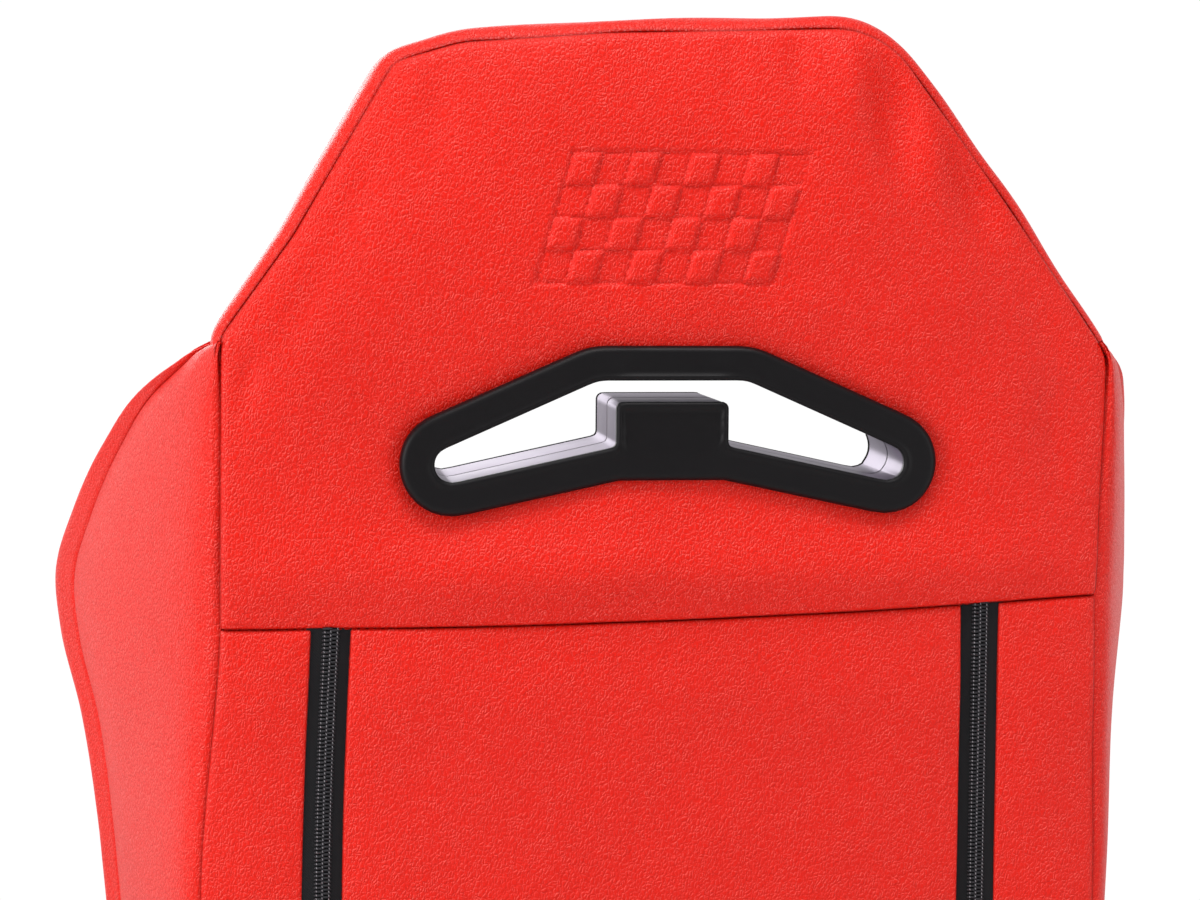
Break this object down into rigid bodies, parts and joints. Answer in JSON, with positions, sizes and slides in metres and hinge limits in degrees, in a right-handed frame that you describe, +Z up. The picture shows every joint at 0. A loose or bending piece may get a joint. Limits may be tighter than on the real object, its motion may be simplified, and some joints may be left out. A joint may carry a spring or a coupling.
{
  "type": "reclining sports seat",
  "caption": "Reclining sports seat with shoulder wings, a harness slot through the backrest, zips in the rear cover, and floor rails.",
  "frame": {"origin": "middle of the outer box at the height of the rail feet's bottom faces", "axes": "+Z up, the seat faces -Y, the sitter's left is +X; at rest the backrest leans back by 10 degrees and the slide is at the middle of its travel"},
  "size_m": [0.6076, 0.6996, 0.9361],
  "materials": {
    "zinc_steel": "zinc plated",
    "painted_steel": "black powder coat",
    "black_plastic": "fine grained moulding",
    "chrome_trim": "bright plated plastic",
    "red_leather": "grained synthetic leather",
    "zip_fabric": "woven tape with a nylon coil",
    "zip_metal": "dark plated",
    "padding_foam": "moulded seat foam"
  },
  "bodies": {
    "rails": {"lower_rail_left": "zinc_steel", "lower_rail_right": "zinc_steel", "rail_foot_front_left": "painted_steel", "rail_foot_front_right": "painted_steel", "rail_foot_rear_left": "painted_steel", "rail_foot_rear_right": "painted_steel"},
    "base": {"upper_rail_left": "zinc_steel", "upper_rail_right": "zinc_steel", "side_member_left": "painted_steel", "side_member_right": "painted_steel", "front_cross_tube": "painted_steel", "rear_cross_tube": "painted_steel", "seat_spring_left": "zinc_steel", "seat_spring_centre": "zinc_steel", "seat_spring_right": "zinc_steel", "cushion_foam": "padding_foam", "cushion_cover": "red_leather", "recliner_base_plate_left": "painted_steel", "recliner_base_plate_right": "painted_steel", "recliner_fixed_disc_left": "zinc_steel", "recliner_fixed_disc_right": "zinc_steel", "side_trim_left": "black_plastic", "side_trim_right": "black_plastic", "recliner_spiral_spring": "zinc_steel"},
    "back": {"back_hoop": "painted_steel", "back_cross_bar_upper": "painted_steel", "back_cross_bar_lower": "painted_steel", "back_spring_lower": "zinc_steel", "back_spring_upper": "zinc_steel", "back_bracket_left": "painted_steel", "back_bracket_right": "painted_steel", "recliner_moving_disc_left": "zinc_steel", "recliner_moving_disc_right": "zinc_steel", "rear_bezel": "black_plastic", "front_bezel": "black_plastic", "rear_sleeve": "chrome_trim", "front_sleeve": "chrome_trim", "rear_yoke_panel": "red_leather", "rear_centre_panel": "red_leather", "rear_side_panel_left": "red_leather", "rear_side_panel_right": "red_leather", "zip_tape_left": "zip_fabric", "zip_tape_right": "zip_fabric", "head_cover": "red_leather", "head_foam": "padding_foam", "back_insert_foam": "padding_foam", "back_insert_cover": "red_leather", "back_bolster_cover_left": "red_leather", "back_bolster_cover_right": "red_leather", "back_bolster_foam_left": "padding_foam", "back_bolster_foam_right": "padding_foam"},
    "release": {"release_shaft": "zinc_steel", "release_lever_left": "black_plastic", "release_lever_right": "black_plastic"},
    "slide_bar": {"slide_release_bar": "painted_steel"},
    "zip_slider_left": {"zip_slider_left": "zip_metal"},
    "zip_slider_right": {"zip_slider_right": "zip_metal"},
    "zip_pull_left": {"zip_pull_left": "zip_metal"},
    "zip_pull_right": {"zip_pull_right": "zip_metal"}
  },
  "joints": [
    {"name": "seat_slide", "type": "slide", "parent": "rails", "child": "base", "axis": [0, -1, 0], "range_m": [-0.09, 0.09]},
    {"name": "backrest_recline", "type": "hinge", "parent": "base", "child": "back", "pos_m": [0, 0.16023, 0.1806], "axis": [-1, 0, 0], "range_deg": [-30, 40]},
    {"name": "release_lift", "type": "hinge", "parent": "base", "child": "release", "pos_m": [0, 0.16023, 0.1806], "axis": [-1, 0, 0], "range_deg": [0, 20], "stiffness_Nm_per_rad": 2, "springref_deg": -17.19},
    {"name": "slide_bar_lift", "type": "hinge", "parent": "base", "child": "slide_bar", "pos_m": [0, -0.14477, 0.0482], "axis": [-1, 0, 0], "range_deg": [0, 10], "stiffness_Nm_per_rad": 4, "springref_deg": -17.19},
    {"name": "zip_run_left", "type": "slide", "parent": "back", "child": "zip_slider_left", "axis": [0, 0.1736, 0.9848], "range_m": [0, 0.375]},
    {"name": "zip_run_right", "type": "slide", "parent": "back", "child": "zip_slider_right", "axis": [0, 0.1736, 0.9848], "range_m": [0, 0.375]},
    {"name": "zip_pull_swing_left", "type": "hinge", "parent": "zip_slider_left", "child": "zip_pull_left", "pos_m": [0.159, 0.23198, 0.25121], "axis": [1, 0, 0], "range_deg": [-8, 150]},
    {"name": "zip_pull_swing_right", "type": "hinge", "parent": "zip_slider_right", "child": "zip_pull_right", "pos_m": [-0.159, 0.23198, 0.25121], "axis": [1, 0, 0], "range_deg": [-8, 150]}
  ]
}
